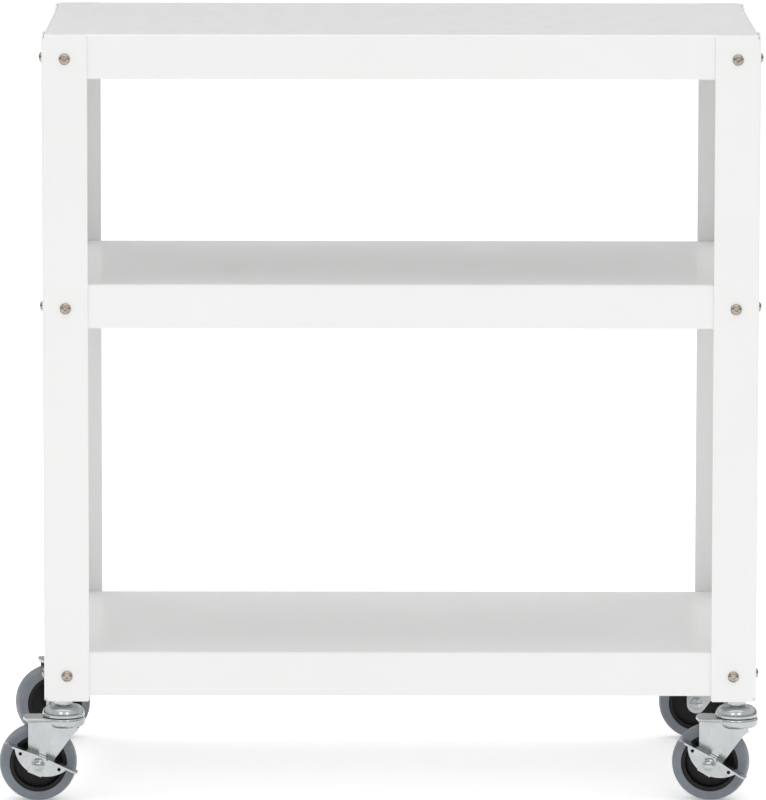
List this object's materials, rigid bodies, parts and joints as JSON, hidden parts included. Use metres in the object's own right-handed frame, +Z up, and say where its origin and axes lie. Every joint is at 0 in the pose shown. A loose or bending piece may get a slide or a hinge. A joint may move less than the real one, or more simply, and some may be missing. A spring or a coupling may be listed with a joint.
{
  "type": "rolling shelf cart",
  "caption": "Rolling utility cart: flat pressed-steel shelves screwed into corner angle posts, on swivel casters with side brake levers at the front.",
  "frame": {"origin": "on the floor, midway between the four posts", "axes": "+Z up; +X to the right along the long side; the front, with the brake levers, faces -Y"},
  "size_m": [0.6414, 0.3445, 0.65],
  "materials": {
    "powder_coat": "white powder coat, semi-gloss, faint orange peel",
    "screw_nickel": "warm nickel plate on button-head screws",
    "zinc_plate": "bright blue-white zinc plate on pressed and turned steel",
    "bearing_steel": "polished bearing balls",
    "wheel_plastic": "moulded black plastic, satin",
    "tyre_rubber": "grey moulded rubber, matt"
  },
  "bodies": {
    "cart_frame": {"post_front_left": "powder_coat", "post_front_right": "powder_coat", "post_rear_left": "powder_coat", "post_rear_right": "powder_coat", "shelf_top": "powder_coat", "shelf_middle": "powder_coat", "shelf_bottom": "powder_coat", "screws_top": "screw_nickel", "screws_middle": "screw_nickel", "screws_bottom": "screw_nickel", "weld_nuts_top": "powder_coat", "weld_nuts_middle": "powder_coat", "weld_nuts_bottom": "powder_coat", "caster_plate_front_left": "powder_coat", "caster_plate_front_right": "powder_coat", "caster_plate_rear_left": "powder_coat", "caster_plate_rear_right": "powder_coat", "stem_nuts": "zinc_plate", "stem_front_left": "zinc_plate", "cap_front_left": "zinc_plate", "lower_race_front_left": "zinc_plate", "stem_front_right": "zinc_plate", "cap_front_right": "zinc_plate", "lower_race_front_right": "zinc_plate", "stem_rear_left": "zinc_plate", "cap_rear_left": "zinc_plate", "lower_race_rear_left": "zinc_plate", "stem_rear_right": "zinc_plate", "cap_rear_right": "zinc_plate", "lower_race_rear_right": "zinc_plate"},
    "caster_front_left": {"fork_front_left": "zinc_plate", "axle_bolt_front_left": "zinc_plate", "axle_nut_front_left": "zinc_plate", "axle_sleeve_front_left": "zinc_plate", "balls_front_left": "bearing_steel"},
    "wheel_front_left": {"wheel_core_front_left": "wheel_plastic", "tyre_front_left": "tyre_rubber"},
    "brake_front_left": {"brake_lever_front_left": "zinc_plate"},
    "caster_front_right": {"fork_front_right": "zinc_plate", "axle_bolt_front_right": "zinc_plate", "axle_nut_front_right": "zinc_plate", "axle_sleeve_front_right": "zinc_plate", "balls_front_right": "bearing_steel"},
    "wheel_front_right": {"wheel_core_front_right": "wheel_plastic", "tyre_front_right": "tyre_rubber"},
    "brake_front_right": {"brake_lever_front_right": "zinc_plate"},
    "caster_rear_left": {"fork_rear_left": "zinc_plate", "axle_bolt_rear_left": "zinc_plate", "axle_nut_rear_left": "zinc_plate", "axle_sleeve_rear_left": "zinc_plate", "balls_rear_left": "bearing_steel"},
    "wheel_rear_left": {"wheel_core_rear_left": "wheel_plastic", "tyre_rear_left": "tyre_rubber"},
    "caster_rear_right": {"fork_rear_right": "zinc_plate", "axle_bolt_rear_right": "zinc_plate", "axle_nut_rear_right": "zinc_plate", "axle_sleeve_rear_right": "zinc_plate", "balls_rear_right": "bearing_steel"},
    "wheel_rear_right": {"wheel_core_rear_right": "wheel_plastic", "tyre_rear_right": "tyre_rubber"}
  },
  "joints": [
    {"name": "swivel_front_left", "type": "hinge", "parent": "cart_frame", "child": "caster_front_left", "pos_m": [-0.2844, -0.1454, 0], "axis": [0, 0, 1], "continuous": true},
    {"name": "wheel_spin_front_left", "type": "hinge", "parent": "caster_front_left", "child": "wheel_front_left", "pos_m": [-0.30597, -0.14653, 0.0327], "axis": [-0.0523, 0.9986, 0], "continuous": true},
    {"name": "brake_rock_front_left", "type": "hinge", "parent": "caster_front_left", "child": "brake_front_left", "pos_m": [-0.30597, -0.14653, 0.0327], "axis": [-0.0523, 0.9986, 0], "range_deg": [-47, 7]},
    {"name": "swivel_front_right", "type": "hinge", "parent": "cart_frame", "child": "caster_front_right", "pos_m": [0.2844, -0.1454, 0], "axis": [0, 0, 1], "continuous": true},
    {"name": "wheel_spin_front_right", "type": "hinge", "parent": "caster_front_right", "child": "wheel_front_right", "pos_m": [0.26301, -0.14239, 0.0327], "axis": [0.1392, 0.9903, 0], "continuous": true},
    {"name": "brake_rock_front_right", "type": "hinge", "parent": "caster_front_right", "child": "brake_front_right", "pos_m": [0.26301, -0.14239, 0.0327], "axis": [0.1392, 0.9903, 0], "range_deg": [-54, 0]},
    {"name": "swivel_rear_left", "type": "hinge", "parent": "cart_frame", "child": "caster_rear_left", "pos_m": [-0.2844, 0.1454, 0], "axis": [0, 0, 1], "continuous": true},
    {"name": "wheel_spin_rear_left", "type": "hinge", "parent": "caster_rear_left", "child": "wheel_rear_left", "pos_m": [-0.30553, 0.14091, 0.0327], "axis": [-0.2079, 0.9781, 0], "continuous": true},
    {"name": "swivel_rear_right", "type": "hinge", "parent": "cart_frame", "child": "caster_rear_right", "pos_m": [0.2844, 0.1454, 0], "axis": [0, 0, 1], "continuous": true},
    {"name": "wheel_spin_rear_right", "type": "hinge", "parent": "caster_rear_right", "child": "wheel_rear_right", "pos_m": [0.2628, 0.1454, 0.0327], "axis": [0, 1, 0], "continuous": true}
  ]
}
